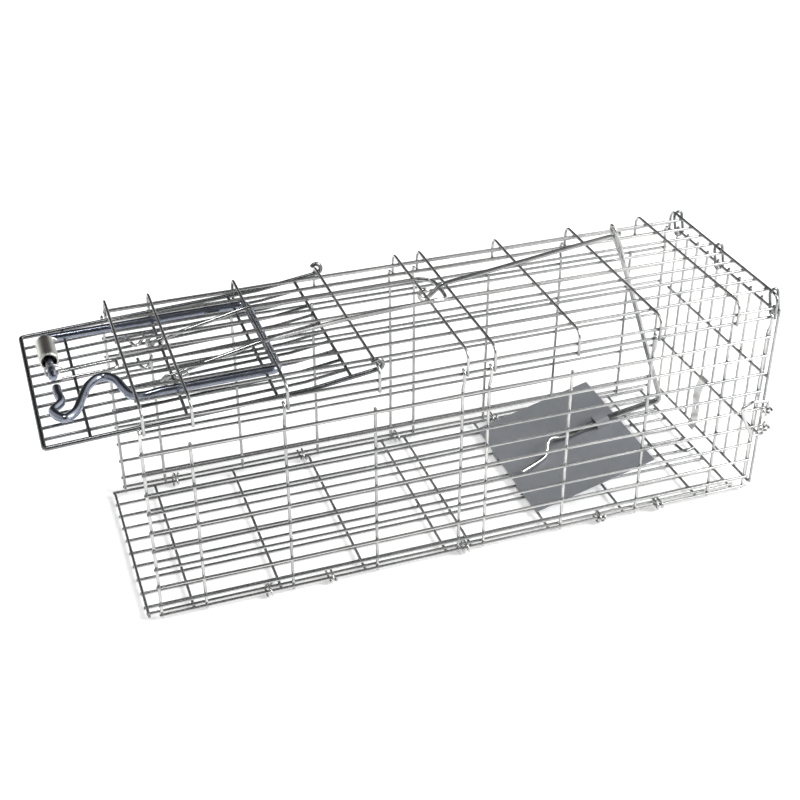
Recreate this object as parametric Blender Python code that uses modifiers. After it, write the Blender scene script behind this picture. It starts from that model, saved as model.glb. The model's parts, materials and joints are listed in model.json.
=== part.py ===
"""Live catch trap: a welded wire cage with a raised front door held by a treadle trigger.

Sizes below are millimetres in the cage's own frame: X runs from the front roof bar to the
rear, Y across, Z up from the floor. at() turns them into metres about the part's origin,
which is the bottom centre of the whole trap.
"""
import math
from itertools import accumulate

import bmesh
import bpy
from mathutils import Matrix, Vector

MM = 0.001
CENTRE_X = 164.1                # middle of the trap's length, from the front roof bar
CENTRE_Y = -2.0                 # middle of its width, from the cage's centre plane

MESH_WIRE = 1.8                 # every welded panel's wire
LAYER = 1.5                     # between crossing wires: the weld sinks one into the other
PITCH = 12.7                    # between the lengthways wires
BAR_GAPS = (25.4, 50.8, 50.8, 50.8, 16.0, 50.8, 50.8, 50.8, 25.4)
BARS = [0.0, *accumulate(BAR_GAPS)]
HALF_WIDTH = 63.5
HEIGHT = 139.7
LEG_WIRE_Z = 125.7              # lowest lengthways wire on the roof's side legs
ROOF_WIRE_Z = HEIGHT - LAYER
EDGE_WIRE_Y = HALF_WIDTH - LAYER

WALL_Y = 62.4                   # upright wires of a side wall
WALL_TOP_Z = 113.0
WALL_SETBACK = 2.3              # uprights stand this far in front of the roof bars
HOOKED = (0, 2, 4, 5, 7, 9)     # uprights that hook over the roof's leg wire
LOWEST_WALL_Z = 4.2
WALL_REAR = 371.0

FLOOR_SETBACK = 9.25            # floor bars sit this far in front of the roof bars
FLOOR_BARS = [bar - FLOOR_SETBACK for bar in BARS]
FLOOR_BAR_Z = 2.4
FLOOR_HALF = 60.9
FLOOR_EDGE_Y = 59.8
CLIP_WIRE = 1.5
CLIP_Y = 61.85
CLIP_Z = 4.05
NEAR_CLIPS = (60.0, 97.0, 180.0, 269.0, 309.0)
FAR_CLIPS = (30.0, 114.0, 179.0, 249.0)

DOOR_HINGE_X = BARS[3]
DOOR_WIRE = 2.6
DOOR_HALF = 59.0
DOOR_PITCH = 10.75
DOOR_EYE = 3.1
DOOR_FRONT = (-49.5, 125.0)     # X and Z of its front end, raised
DOOR_KNEE = (90.0, 131.5)       # where its wires turn up to the hinge
DOOR_REAR = (125.0, 136.3)
DOOR_BARS = (-26.0, 24.0, 72.0, 112.7)
DOOR_CORNER = 2.2

BAIL_WIRE = 4.8
BAIL_PIVOT = (78.4, 134.7)
BAIL_ARM_Y = 39.0
BAIL_FOOT = (-37.5, 133.0)
ROLLER_BORE = 8.2
ROLLER_OUTER = 10.5
ROLLER_Y = (12.5, 34.0)

LOOP_WIRE = 2.5
ROD_WIRE = 2.8
ROD_Y = 6.35
LINK_WIRE = 2.4
LINK_HALF = 1.35
PAN_TILT = math.radians(14.9)
PAN_HINGE = (FLOOR_BARS[6], FLOOR_BAR_Z)
PAN_THICK = 0.7
PAN_CURL = 1.85                 # middle of the curl's sheet about the floor bar
PAN_START = -1.0                # the plate's front edge, from the floor bar
PAN_LENGTH = 81.5
CURL_Y = (-19.05, 19.05)        # its two hinge curls
CURL_WIDTH = 7.6
TAB_AT = 70.0                   # the tab over the link: place along the plate
TAB_HALF = 4.6
TAB_RISE = 5.6
TAB_CORNER = 1.5
TAB_GAUGE = 0.8
TAB_LENGTH = 9.0
PAN_Y = (-45.8, 51.8)

REAR_HINGE_X = BARS[9]
REAR_BAR_X = 373.9
REAR_UPRIGHTS = [58.4 - PITCH * step for step in range(10)] + [-61.6]
REAR_BARS = (128.0, 84.0, 43.0, 5.6)
REAR_RINGS = (54.6, 3.8, -58.75)
PLATE_Y = 1.25
PLATE_WIDTH = 7.4
PLATE_GAUGE = 0.8
PLATE_CURL = 2.05               # middle of its curl about the door's third bar
PLATE_HOLE = 3.4
PLATE_HOLE_DROP = 20.0          # from that bar down to the hole's middle
PLATE_BODY = [(-4.2, -7.0), (-4.6, -13.0), (-3.6, -19.0), (-4.2, -30.0), (-6.6, -35.0)]
LATCH_PIN = (375.0, -67.0)
LATCH_HOOKS = (WALL_TOP_Z - 4 * PITCH, WALL_TOP_Z - 5 * PITCH)

SQUARE, SIX_SIDED, EIGHT_SIDED = 0, 1, 2     # bevel resolutions
ORIGIN = Vector((0.0, 0.0, 0.0))


def at(x, y, z):
    """A place in the cage's millimetres, in metres about the part's origin."""
    return Vector(((x - CENTRE_X) * MM, (y - CENTRE_Y) * MM, z * MM))


def clear_scene():
    for item in list(bpy.data.objects):
        bpy.data.objects.remove(item)


def collection(name):
    made = bpy.data.collections.new(name)
    bpy.context.scene.collection.children.link(made)
    return made


def finish(name, colour, roughness, metallic=1.0):
    made = bpy.data.materials.new(name)
    made.use_nodes = True
    shader = made.node_tree.nodes["Principled BSDF"]
    shader.inputs["Base Color"].default_value = (*colour, 1.0)
    shader.inputs["Roughness"].default_value = roughness
    shader.inputs["Metallic"].default_value = metallic
    return made


def arc(centre, radius, start, end, step=30.0):
    """Points of an arc in a plane, from one angle to another in degrees."""
    count = max(1, math.ceil(abs(end - start) / step))
    angles = [math.radians(start + (end - start) * k / count) for k in range(count + 1)]
    return [(centre[0] + radius * math.cos(a), centre[1] + radius * math.sin(a)) for a in angles]


def in_xz(points, y):
    return [(u, y, v) for u, v in points]


def in_yz(points, x):
    return [(x, u, v) for u, v in points]


def oval(first, second, radius):
    """A closed stadium round two centres of a plane, without its repeated last point."""
    heading = math.degrees(math.atan2(second[1] - first[1], second[0] - first[0]))
    return (arc(second, radius, heading - 90, heading + 90)
            + arc(first, radius, heading + 90, heading + 270))


def rounded(points, radius, steps=3):
    """A broken line whose inner corners are cut by a curve that starts radius before them."""
    places = [Vector(point) for point in points]
    path = [places[0]]
    for before, corner, after in zip(places, places[1:], places[2:]):
        start = corner + (before - corner).normalized() * radius
        end = corner + (after - corner).normalized() * radius
        for k in range(steps + 1):
            t = k / steps
            path.append(start * (1 - t) ** 2 + corner * 2 * t * (1 - t) + end * t ** 2)
    return [tuple(place) for place in path + [places[-1]]]


def smooth(points, steps=3):
    """A curve through every given point, each stretch shaped by its two neighbours."""
    places = [Vector(point) for point in points]
    ends = [places[0] * 2 - places[1], *places, places[-1] * 2 - places[-2]]
    path = []
    for a, b, c, d in zip(ends, ends[1:], ends[2:], ends[3:]):
        for k in range(steps):
            t = k / steps
            path.append((b * 2 + (c - a) * t + (a * 2 - b * 5 + c * 4 - d) * t ** 2
                         + (b * 3 - a - c * 3 + d) * t ** 3) / 2)
    return [tuple(place) for place in path + [places[-1]]]


def wire(name, paths, size, look, level=SIX_SIDED, pivot=ORIGIN, ring=False):
    """Wires of one size along the given paths, as a curve whose origin is the pivot."""
    curve = bpy.data.curves.new(name, "CURVE")
    curve.dimensions = "3D"
    curve.bevel_depth = size * MM / (math.sqrt(2) if level == SQUARE else 2)
    curve.bevel_resolution = level
    curve.use_fill_caps = True
    for path in paths:
        spline = curve.splines.new("POLY")
        spline.points.add(len(path) - 1)
        for point, place in zip(spline.points, path):
            point.co = (*(at(*place) - pivot), 1.0)
            point.tilt = math.pi / 4 if level == SQUARE else 0.0
        spline.use_cyclic_u = ring
    return placed(name, curve, look, pivot)


def placed(name, data, look, pivot=ORIGIN):
    data.materials.clear()
    data.materials.append(look)
    made = bpy.data.objects.new(name, data)
    made.location = pivot
    PARTS.objects.link(made)
    return made


def sheet(name, outline, depth, look, turn, pivot):
    """A flat outline in metres, given half its depth each way, then turned into place."""
    curve = bpy.data.curves.new(name, "CURVE")
    curve.dimensions = "2D"
    curve.fill_mode = "BOTH"
    curve.extrude = depth * MM / 2
    spline = curve.splines.new("POLY")
    spline.points.add(len(outline) - 1)
    for point, (u, v) in zip(spline.points, outline):
        point.co = (u * MM, v * MM, 0.0, 1.0)
    spline.use_cyclic_u = True
    made = placed(name, curve, look)
    made.matrix_world = Matrix.Translation(pivot) @ turn
    return made


def strip(points, thickness):
    """The outline of a strip of sheet whose middle line follows the given points."""
    places = [Vector(point) for point in points]
    sides = ([], [])
    for k, place in enumerate(places):
        along = (places[min(k + 1, len(places) - 1)] - places[max(k - 1, 0)]).normalized()
        across = Vector((-along.y, along.x)) * thickness / 2
        sides[0].append(tuple(place + across))
        sides[1].append(tuple(place - across))
    return sides[0] + sides[1][::-1]


def as_mesh(item):
    """The same piece as a welded mesh object, in place of its curve."""
    bpy.context.view_layer.update()
    graph = bpy.context.evaluated_depsgraph_get()
    mesh = bpy.data.meshes.new_from_object(item.evaluated_get(graph))
    weld(mesh)
    name, look, matrix = item.name, item.data.materials[0], item.matrix_world.copy()
    bpy.data.objects.remove(item)
    made = placed(name, mesh, look)
    made.matrix_world = matrix
    return made


def weld(mesh):
    shape = bmesh.new()
    shape.from_mesh(mesh)
    bmesh.ops.remove_doubles(shape, verts=shape.verts, dist=0.000002)
    shape.to_mesh(mesh)
    shape.free()


def union(name, pieces, pivot=ORIGIN):
    """One solid from overlapping pieces, with its origin at the pivot."""
    meshes = [as_mesh(piece) for piece in pieces]
    base = meshes[0]
    for other in meshes[1:]:
        join = base.modifiers.new("join", "BOOLEAN")
        join.operation = "UNION"
        join.object = other
    bpy.context.view_layer.update()
    graph = bpy.context.evaluated_depsgraph_get()
    mesh = bpy.data.meshes.new_from_object(base.evaluated_get(graph))
    mesh.transform(Matrix.Translation(-pivot) @ base.matrix_world)
    look = base.data.materials[0]
    for item in meshes:
        bpy.data.objects.remove(item)
    made = placed(name, mesh, look, pivot)
    made.data.name = name
    return made


def roof_panel():
    corner = 6.0
    foot = LEG_WIRE_Z - MESH_WIRE / 2
    hoops = []
    for bar in BARS:
        leg, top = (bar, -HALF_WIDTH, foot), (bar, -HALF_WIDTH, HEIGHT)
        hoops.append(rounded([leg, top, (bar, HALF_WIDTH, HEIGHT), (bar, HALF_WIDTH, foot)], corner))
    rows = [(PITCH * k, ROOF_WIRE_Z) for k in range(-4, 5)]
    rows += [(side * EDGE_WIRE_Y, z) for side in (-1, 1) for z in (131.5, LEG_WIRE_Z)]
    over = MESH_WIRE / 2 + 0.4
    lines = [[(BARS[0] - over, y, z), (BARS[-1] + over, y, z)] for y, z in rows]
    return union("roof_panel", [
        wire("hoops", hoops, MESH_WIRE, ZINC, SQUARE),
        wire("roof_lines", lines, MESH_WIRE, ZINC, SQUARE),
    ])


def wall_upright(bar, hooked, side):
    """An upright of a side wall; a hooked one leans out and over the roof's leg wire."""
    x = bar - WALL_SETBACK
    path = [(WALL_Y, 1.2), (WALL_Y, 117.0)]
    if hooked:
        path += [(EDGE_WIRE_Y + 2.6, 122.5)] + arc((EDGE_WIRE_Y, LEG_WIRE_Z), 2.6, 0, 96)
    else:
        path[-1] = (WALL_Y, WALL_TOP_Z + 1.4)
    return [(x, side * y, z) for y, z in path]


def side_panel(name, side):
    uprights = [wall_upright(bar, k in HOOKED, side) for k, bar in enumerate(BARS)]
    levels = [LOWEST_WALL_Z] + [WALL_TOP_Z - PITCH * k for k in range(9)]
    front, y = -WALL_SETBACK - 1.4, side * (WALL_Y + LAYER)
    lines = []
    for z in levels:
        if side < 0 and z in LATCH_HOOKS:
            curl = arc(LATCH_PIN, y - LATCH_PIN[1], 90, -170)
            lines.append([(front, y, z)] + [(u, v, z) for u, v in curl])
        else:
            lines.append([(front, y, z), (WALL_REAR, y, z)])
    pieces = [
        wire("uprights", uprights, MESH_WIRE, ZINC, SQUARE),
        wire("wall_lines", lines, MESH_WIRE, ZINC, SQUARE),
    ]
    return union(name, pieces)


def floor_panel():
    bars = [[(bar, -FLOOR_HALF, FLOOR_BAR_Z), (bar, FLOOR_HALF, FLOOR_BAR_Z)] for bar in FLOOR_BARS]
    rows = [(PITCH * k, FLOOR_BAR_Z - LAYER) for k in range(-4, 5)]
    rows += [(side * FLOOR_EDGE_Y, FLOOR_BAR_Z + LAYER) for side in (-1, 1)]
    over = MESH_WIRE / 2 + 0.4
    lines = [[(FLOOR_BARS[0] - over, y, z), (FLOOR_BARS[-1] + over, y, z)] for y, z in rows]
    return union("floor_panel", [
        wire("floor_bars", bars, MESH_WIRE, ZINC, SQUARE),
        wire("floor_lines", lines, MESH_WIRE, ZINC, SQUARE),
    ])


def floor_clips():
    """Oval rings that tie each wall's lowest wire to the floor's edge wire."""
    reach, radius = 2.1, 2.3
    for side, places, word in ((-1, NEAR_CLIPS, "near"), (1, FAR_CLIPS, "far")):
        middle = side * CLIP_Y
        for number, x in enumerate(places, 1):
            path = oval((middle - reach, CLIP_Z), (middle + reach, CLIP_Z), radius)
            wire(f"{word}_floor_clip_{number}", [in_yz(path, x)], CLIP_WIRE, ZINC, SQUARE, ring=True)


def rear_catch():
    path = rounded([(361.0, -6.0, 4.6), (350.5, -8.0, 4.6), (352.5, -19.0, 4.6), (361.0, -16.5, 4.6)], 3.0)
    return wire("rear_catch", [path], MESH_WIRE, DARK)


def door_height(x):
    """Height of the raised front door's side wires above the floor, at one place along it."""
    (x0, z0), (x1, z1), (x2, z2) = DOOR_FRONT, DOOR_KNEE, DOOR_REAR
    if x < x1:
        return z0 + (x - x0) * (z1 - z0) / (x1 - x0)
    return z1 + (x - x1) * (z2 - z1) / (x2 - x1)


def front_door():
    pivot = at(DOOR_HINGE_X, 0, HEIGHT)
    eye = arc((DOOR_HINGE_X, HEIGHT), DOOR_EYE, 255, 505)
    side_line = [DOOR_KNEE, DOOR_REAR] + eye
    near = [(x, -DOOR_HALF, z) for x, z in side_line]
    far = [(x, DOOR_HALF, z) for x, z in side_line]
    front = [(DOOR_FRONT[0], side * DOOR_HALF, DOOR_FRONT[1]) for side in (-1, 1)]
    bend = rounded([near[0], *front, far[0]], DOOR_CORNER)
    frame = near[::-1] + bend[1:-1] + far
    bars = [[(x, -DOOR_HALF, door_height(x)), (x, DOOR_HALF, door_height(x))] for x in DOOR_BARS]
    lines = []
    for k in range(10):
        y = (k - 4.5) * DOOR_PITCH
        stops = (DOOR_FRONT[0] - 0.8, DOOR_KNEE[0], DOOR_BARS[-1] + 1.3)
        lines.append([(x, y, door_height(x) - LAYER) for x in stops])
    union("front_door_panel", [
        wire("door_frame", [frame], DOOR_WIRE, DARK, SIX_SIDED),
        wire("door_bars", bars, MESH_WIRE, DARK, SQUARE),
        wire("door_lines", lines, MESH_WIRE, DARK, SQUARE),
    ], pivot)
    lift = 2.1
    forms = {
        "door_v_wire": [(7, 32), (10.6, 20), (17.6, 29.7)],
        "door_j_wire": [(9, 5.5), (9.6, -3.5), (12.5, -5.5), (17, 5.2)],
        "door_hairpin_wire": [(-33, 1.0), (-6, 0.6), (-2.5, 5), (-6, 9), (-33, 8.6)],
    }
    for name, places in forms.items():
        path = smooth([(x, y, door_height(x) + lift) for x, y in places])
        wire(name, [path], MESH_WIRE, ZINC, SIX_SIDED, pivot)


def bail_height(x):
    slope = (BAIL_PIVOT[1] - BAIL_FOOT[1]) / (BAIL_PIVOT[0] - BAIL_FOOT[0])
    return BAIL_PIVOT[1] + (x - BAIL_PIVOT[0]) * slope


def lock_bail():
    pivot = at(BAIL_PIVOT[0], 0, BAIL_PIVOT[1])
    curl_z = 132.0
    snake = [(-37, -14), (-37, -21), (-36.5, -29), (-41.5, -36.5), (-37, -45), (-30.5, -40.5),
             (-25.5, -28), (-21.5, -18.5), (-16, -12), (-10.6, -11.2), (-6, -16.5), (-3.5, -26),
             (-0.5, -34.5)]
    near = smooth([(x, y, curl_z) for x, y in snake] + [(6, -38, 132.8), (14, -38, bail_height(14))])
    corners = [near[-1], (BAIL_PIVOT[0], -38, BAIL_PIVOT[1]), (BAIL_PIVOT[0], BAIL_ARM_Y, BAIL_PIVOT[1]),
               (BAIL_FOOT[0], BAIL_ARM_Y, BAIL_FOOT[1]), (BAIL_FOOT[0], -4, BAIL_FOOT[1])]
    path = near[:-1] + rounded(corners, 4.5)
    wire("lock_bail", [path], BAIL_WIRE, BLUED, EIGHT_SIDED, pivot)
    for name, y in (("roller_stop_outer", 34.95), ("roller_stop_inner", 2.6)):
        ring = in_xz(arc(BAIL_FOOT, 3.55, 0, 330), y)
        wire(name, [ring], 1.3, ZINC, SQUARE, pivot, ring=True)
    clamp_x, clamp_length = 58.0, 9.0
    saddle = strip(arc((0, 0), 3.3, 175, 365), 1.0)
    facing_x = Matrix(((0, 0, 1, 0), (1, 0, 0, 0), (0, 1, 0, 0), (0, 0, 0, 1)))
    centre = at(clamp_x, BAIL_ARM_Y, bail_height(clamp_x))
    sheet("bail_clamp", saddle, clamp_length, ZINC, facing_x, centre)


def bail_roller():
    """A plain tube, turned as a wall that runs down its outer side and back up its bore."""
    length = ROLLER_Y[1] - ROLLER_Y[0]
    mesh = bpy.data.meshes.new("bail_roller")
    inner, outer = ROLLER_BORE / 2 * MM, ROLLER_OUTER / 2 * MM
    half = length / 2 * MM
    corners = [(outer, 0, half), (outer, 0, -half), (inner, 0, -half), (inner, 0, half)]
    mesh.from_pydata(corners, [(0, 1), (1, 2), (2, 3), (3, 0)], [])
    roller = placed("bail_roller", mesh, TUBE)
    turn = roller.modifiers.new("turn", "SCREW")
    turn.steps = turn.render_steps = 16
    turn.use_merge_vertices = True
    turn.merge_threshold = 0.00001
    roller.location = at(BAIL_FOOT[0], sum(ROLLER_Y) / 2, BAIL_FOOT[1])
    roller.rotation_euler = (math.pi / 2, 0, 0)


def trigger_loop():
    top = HEIGHT + MESH_WIRE / 2 + 0.3 + LOOP_WIRE / 2
    near_y, far_y = -19.2, 20.6
    dip = [(76.0, top), (71.0, top - 0.8), (30.0, 132.2), (25.0, 131.0), (21.0, 130.2), (19.4, 127.8),
           (19.4, 125.2)]
    far = in_xz(dip[::-1], far_y)
    near = in_xz(dip, near_y)
    over = [(125, 20.8), (172, 21.5), (180, 21.4), (186, 19.5), (188, 14), (188, 0), (186, -4.8),
            (180, -6.4), (172, -7.2), (125, -11), (95, -15.5)]
    drop = 1.2
    across = [(x, y, top if x < 181 else top - drop) for x, y in over]
    path = far + smooth(across, 2) + near
    wire("trigger_loop", [path], LOOP_WIRE, ZINC, SIX_SIDED, at(BARS[2], 0, HEIGHT))


def trigger_rod():
    hook = arc((BARS[4], HEIGHT), 3.1, 50, 315)
    shaft = [(183.0, 140.3), (187.6, 143.9), (192.8, 145.3), (220, 148.6), (243.6, 151.7), (269, 155.1),
             (296.3, 158.3), (303, 159.1)]
    path = in_xz(hook + shaft, ROD_Y)
    wire("trigger_rod", [path], ROD_WIRE, ZINC, SIX_SIDED, at(BARS[4], 0, HEIGHT))


def on_pan(u, w):
    """X and Z of a place along the pan and above its hinge line."""
    c, s = math.cos(PAN_TILT), math.sin(PAN_TILT)
    return PAN_HINGE[0] + u * c - w * s, PAN_HINGE[1] + u * s + w * c


def treadle_pan():
    """The sheet plate with its two hinge curls and the tab that holds the link down."""
    pivot = at(PAN_HINGE[0], 0, PAN_HINGE[1])
    lean = Matrix.Rotation(-PAN_TILT, 4, "Y")
    facing_y = lean @ Matrix.Rotation(math.pi / 2, 4, "X")
    facing_x = lean @ Matrix(((0, 0, 1, 0), (1, 0, 0, 0), (0, 1, 0, 0), (0, 0, 0, 1)))
    mid_y, width = sum(PAN_Y) / 2, PAN_Y[1] - PAN_Y[0]
    slab = strip([(PAN_START, PAN_CURL), (PAN_LENGTH, PAN_CURL)], PAN_THICK)
    plate = sheet("plate", slab, width, SHEET, facing_y, pivot + Vector((0, mid_y * MM, 0)))
    finger = strip([(6.0, PAN_CURL)] + arc((0, 0), PAN_CURL, 90, 330), PAN_THICK * 0.96)
    pieces = [plate]
    for y in CURL_Y:
        pieces.append(sheet("finger", finger, CURL_WIDTH, SHEET, facing_y, pivot + Vector((0, y * MM, 0))))
    low, top, half, cut = PAN_CURL, PAN_CURL + TAB_RISE, TAB_HALF, TAB_CORNER
    arch = [(-half, low), (-half, top - cut), (-half + cut, top)]
    arch += [(half - cut, top), (half, top - cut), (half, low)]
    shift = Vector((0, ROD_Y * MM, 0)) + lean @ Vector((TAB_AT * MM, 0, 0))
    pieces.append(sheet("tab", strip(arch, TAB_GAUGE), TAB_LENGTH, SHEET, facing_x, pivot + shift))
    union("treadle_pan", pieces, pivot)


def trigger_link():
    """A doubled wire on the pan that rises to the teardrop eye round the trigger rod's end."""
    pivot = at(PAN_HINGE[0], 0, PAN_HINGE[1])
    rest = PAN_CURL + PAN_THICK / 2 + 0.3 + LINK_WIRE / 2
    far_start = [on_pan(36.0, rest)]
    near_start = [on_pan(34.0, rest + 4.6), on_pan(40.0, rest + 2.2), on_pan(50.0, rest)]
    lean_front = [on_pan(60.0, rest), on_pan(82.0, rest), (343.5, 31.5), (343.5, 36.5)]
    rise = [(331, 71.5), (320, 103.8), (305.4, 143.6)]
    near_y, far_y = ROD_Y - LINK_HALF, ROD_Y + LINK_HALF
    hook = [(*on_pan(6.0, rest + 2.0), -10.5), (*on_pan(15.0, rest + 0.5), -7.2), (*on_pan(24.0, rest), -4),
            (*on_pan(27.5, rest + 1.5), -1), (*on_pan(30.5, rest + 4.2), 2.5)]
    path = [(x, y, z) for x, z, y in hook]
    path += in_xz(near_start + lean_front + rise, near_y)
    eye = [(302.8, 3.4, 151), (299.3, 2.95, 159), (297.6, 4.2, 163.8), (297.2, 6.35, 165.0),
           (297.6, 8.5, 163.8), (299.3, 9.75, 159), (302.8, 9.3, 151)]
    path += eye + in_xz((far_start + lean_front + rise)[::-1], far_y)
    wire("trigger_link", [path], LINK_WIRE, ZINC, SIX_SIDED, pivot)


def rear_door():
    pivot = at(REAR_HINGE_X, 0, HEIGHT)
    over = MESH_WIRE / 2 + 0.5
    low, high = min(REAR_BARS) - over, max(REAR_BARS) + over
    near, far = min(REAR_UPRIGHTS), max(REAR_UPRIGHTS)
    bars = [[(REAR_BAR_X, near - 0.4, z), (REAR_BAR_X, far + over, z)] for z in REAR_BARS]
    uprights = [[(REAR_BAR_X + LAYER, y, low), (REAR_BAR_X + LAYER, y, high)] for y in REAR_UPRIGHTS]
    union("rear_door_panel", [
        wire("rear_bars", bars, MESH_WIRE, ZINC, SQUARE),
        wire("rear_uprights", uprights, MESH_WIRE, ZINC, SQUARE),
    ], pivot)
    for number, y in enumerate(REAR_RINGS, 1):
        path = in_xz(oval((REAR_HINGE_X, HEIGHT), (REAR_BAR_X, REAR_BARS[0]), 2.7), y)
        wire(f"rear_hinge_ring_{number}", [path], MESH_WIRE, DARK, SQUARE, pivot, ring=True)


def rear_latch_plate():
    """A strip curled round the rear door's third bar, with a round hole and a bent foot."""
    pivot = at(REAR_BAR_X, PLATE_Y, REAR_BARS[2])
    curl = arc((0, 0), PLATE_CURL, 40, 180)
    outline = strip(curl + PLATE_BODY, PLATE_GAUGE)
    facing_y = Matrix.Rotation(math.pi / 2, 4, "X")
    plate = union("latch_blank", [sheet("latch_sheet", outline, PLATE_WIDTH, ZINC, facing_y, pivot)], pivot)
    bpy.ops.mesh.primitive_cylinder_add(vertices=16, radius=PLATE_HOLE / 2 * MM, depth=PLATE_WIDTH * MM)
    cutter = bpy.context.object
    cutter.name = "latch_hole"
    centre = pivot + Vector((-PLATE_CURL * 2, 0, -PLATE_HOLE_DROP)) * MM
    cutter.matrix_world = Matrix.Translation(centre) @ Matrix.Rotation(math.pi / 2, 4, "Y")
    for owner in list(cutter.users_collection):
        owner.objects.unlink(cutter)
    CUTTERS.objects.link(cutter)
    cutter.hide_render = True
    cutter.display_type = "WIRE"
    hole = plate.modifiers.new("hole", "BOOLEAN")
    hole.operation = "DIFFERENCE"
    hole.object = cutter
    plate.name = "rear_latch_plate"


def rear_latch_wire():
    """A bowed wire whose two upright ends turn in the near wall's rear hooks."""
    x, y = LATCH_PIN
    high, low = LATCH_HOOKS
    bow = [(x, high - 4), (x, high + 6.5), (364, high + 8.3), (356.5, high + 4.8), (360.5, low + 7.5),
           (367, low - 4.5), (x, low - 4.5), (x, low + 4)]
    path = rounded(in_xz(bow, y), 1.9, 2)
    wire("rear_latch_wire", [path], 2.0, ZINC, SIX_SIDED, at(x, y, 0))


clear_scene()
PARTS = collection("live_catch_trap")
CUTTERS = collection("cutters")
ZINC = finish("bright_zinc_wire", (0.62, 0.63, 0.64), 0.32)
DARK = finish("dull_zinc_wire", (0.36, 0.37, 0.38), 0.42)
TUBE = finish("steel_tube", (0.60, 0.61, 0.62), 0.28)
BLUED = finish("blue_zinc_rod", (0.50, 0.53, 0.60), 0.28)
SHEET = finish("grey_zinc_sheet", (0.42, 0.43, 0.45), 0.45)

roof_panel()
side_panel("near_side_panel", -1)
side_panel("far_side_panel", 1)
floor_panel()
floor_clips()
rear_catch()
front_door()
lock_bail()
bail_roller()
trigger_loop()
trigger_rod()
treadle_pan()
trigger_link()
rear_door()
rear_latch_plate()
rear_latch_wire()
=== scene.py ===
"""The looks of a welded wire live catch trap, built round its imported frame.

Lengths are millimetres in the cage's own frame until Place turns them into the frame's metres:
X runs from the front roof bar to the rear, Y across from the middle, Z up from the floor.
"""
import json
import logging
import math
from collections.abc import Callable
from dataclasses import dataclass, field
from enum import Enum
from functools import partial

import bmesh
import bpy
import numpy as np
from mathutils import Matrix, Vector


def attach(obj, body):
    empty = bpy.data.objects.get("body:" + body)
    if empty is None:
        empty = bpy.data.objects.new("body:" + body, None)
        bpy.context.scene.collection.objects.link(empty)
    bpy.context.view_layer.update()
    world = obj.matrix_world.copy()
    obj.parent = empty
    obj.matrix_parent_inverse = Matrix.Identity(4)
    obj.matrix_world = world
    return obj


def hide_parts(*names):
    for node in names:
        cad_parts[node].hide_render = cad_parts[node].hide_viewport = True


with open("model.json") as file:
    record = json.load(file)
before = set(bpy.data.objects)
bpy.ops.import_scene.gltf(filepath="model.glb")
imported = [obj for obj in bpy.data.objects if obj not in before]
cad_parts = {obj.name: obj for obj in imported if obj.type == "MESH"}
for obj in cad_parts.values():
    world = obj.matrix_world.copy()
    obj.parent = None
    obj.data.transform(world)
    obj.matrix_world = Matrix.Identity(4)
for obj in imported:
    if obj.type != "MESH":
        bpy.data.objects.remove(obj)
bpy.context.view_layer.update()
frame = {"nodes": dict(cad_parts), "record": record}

LOG = logging.getLogger("live_catch_trap")
MM = 0.001
SEED = 7

MESH_WIRE = 1.8        # every welded panel's wire
LAYER = 1.5            # between two crossing wires, one sunk into the other
PITCH = 12.7           # between the lengthways wires
BAR_GAPS = np.array([25.4, 50.8, 50.8, 50.8, 16.0, 50.8, 50.8, 50.8, 25.4])
BARS = np.concatenate([[0.0], np.cumsum(BAR_GAPS)])
HALF_WIDTH = 63.5
HEIGHT = 139.7
LEG_WIRE_Z = 125.7     # the lowest wire on the roof's side legs
EDGE_WIRE_Y = HALF_WIDTH - LAYER
OVERHANG = MESH_WIRE / 2 + 0.3
DOME_RISE = 0.22       # a wire's cut end, as shares of its radius
DOME_REACH = 0.72
SHARP_ANGLE = math.radians(50)

Path = np.ndarray
Pair = tuple[float, float]
Triple = tuple[float, float, float]
Lay = Callable[[np.ndarray, np.ndarray, np.ndarray], np.ndarray]
Tree = bpy.types.NodeTree
Socket = bpy.types.NodeSocket
Object = bpy.types.Object


class Finish(Enum):
    """The named finishes, each giving its name to the material made for it."""

    BRIGHT = "bright_zinc_wire"
    # DULL is rougher wire whose darker colours are painted shade.
    DULL = "dull_zinc_wire"
    BLUED = "blue_zinc_rod"
    TUBE = "steel_tube"
    SHEET = "grey_zinc_sheet"


@dataclass(frozen=True)
class ZincLook:
    """How one finish looks: its colours, its roughness range and the scale of its grain."""

    bright: Triple
    dull: Triple
    grime: Triple
    smooth: float
    rough: float
    grain: float
    relief: float
    streak: float
    metallic: float = 1.0


LOOKS = {
    Finish.BRIGHT: ZincLook((0.66, 0.66, 0.645), (0.30, 0.31, 0.315), (0.04, 0.04, 0.037),
                            smooth=0.10, rough=0.28, grain=900, relief=0.04, streak=1.0),
    # The dull wire is rougher, and its colours are darkened as painted shade, for wires that look dark under
    # this light.
    Finish.DULL: ZincLook((0.28, 0.285, 0.29), (0.11, 0.115, 0.12), (0.03, 0.03, 0.028),
                          smooth=0.14, rough=0.36, grain=800, relief=0.05, streak=1.0),
    Finish.BLUED: ZincLook((0.42, 0.45, 0.52), (0.17, 0.19, 0.25), (0.05, 0.055, 0.07),
                           smooth=0.10, rough=0.30, grain=600, relief=0.03, streak=1.0),
    Finish.TUBE: ZincLook((0.84, 0.82, 0.77), (0.56, 0.55, 0.51), (0.07, 0.07, 0.065),
                          smooth=0.20, rough=0.38, grain=500, relief=0.04, streak=1.0),
    Finish.SHEET: ZincLook((0.34, 0.355, 0.38), (0.25, 0.26, 0.28), (0.06, 0.06, 0.06),
                           smooth=0.36, rough=0.52, grain=260, relief=0.04, streak=0.25, metallic=0.3),
}


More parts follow.
